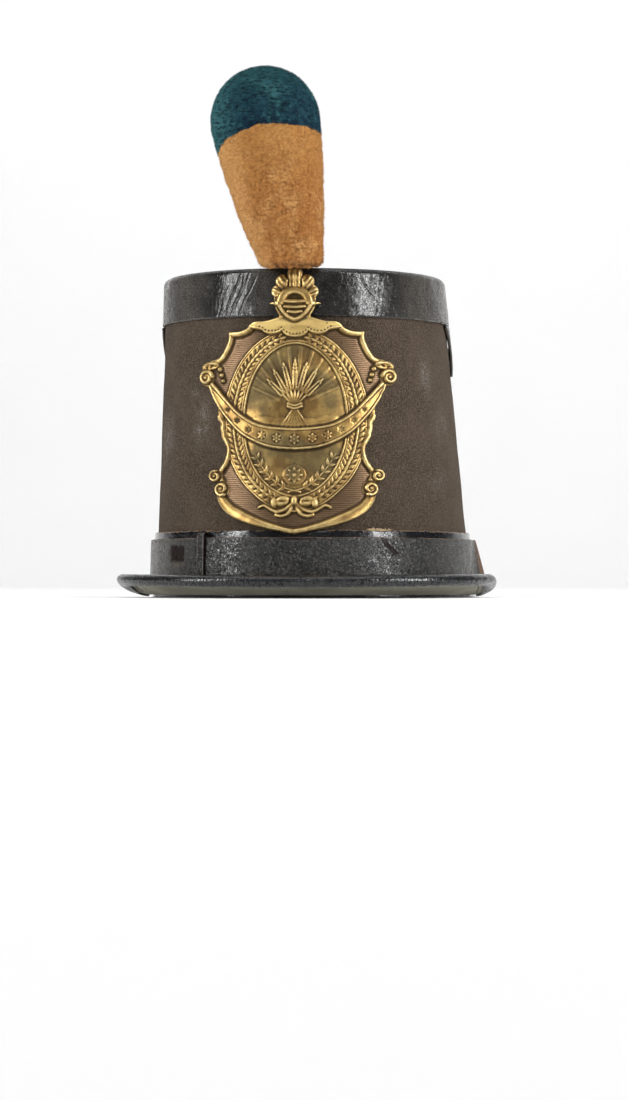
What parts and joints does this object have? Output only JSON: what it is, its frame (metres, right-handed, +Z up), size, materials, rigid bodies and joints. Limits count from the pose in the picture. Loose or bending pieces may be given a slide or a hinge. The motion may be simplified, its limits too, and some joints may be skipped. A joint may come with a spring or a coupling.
{
  "type": "shako hat",
  "caption": "Tall felt shako with leather bands, flat visor, stamped brass front plate, chin strap and a two-colour wool plume.",
  "frame": {"origin": "centre of the box round the hat, on the plane that the foot of its lower band stands on", "axes": "+Z up along the crown, -Y towards the front plate and visor, +X towards the wearer's left"},
  "size_m": [0.194, 0.2543, 0.2641],
  "materials": {
    "felt": "matt wool felt, faded brown-black, lightly scuffed",
    "black_leather": "black varnished leather, crazed, satin",
    "patent_leather": "black patent leather, glossy, cracked",
    "strap_leather": "black pebbled leather, tan at the raw edges",
    "visor_leather": "black varnished leather, grey-green underneath",
    "sweatband_leather": "worn tan leather, matt",
    "brass": "stamped gilt brass, tarnished brown in the hollows",
    "rusty_wire": "rusted iron wire, matt",
    "orange_wool": "dense cut wool pile, matt",
    "teal_wool": "dense cut wool pile, matt"
  },
  "bodies": {
    "root": {"crown_body": "felt", "crown_top": "black_leather", "top_band": "black_leather", "side_chevron_left": "black_leather", "side_chevron_right": "black_leather", "lower_band": "patent_leather", "chin_strap": "strap_leather", "strap_keeper": "strap_leather", "visor": "visor_leather", "visor_binding": "visor_leather", "sweatband": "sweatband_leather", "front_plate": "brass", "plume_stem": "rusty_wire", "plume_lower": "orange_wool", "plume_tip": "teal_wool"}
  },
  "joints": []
}
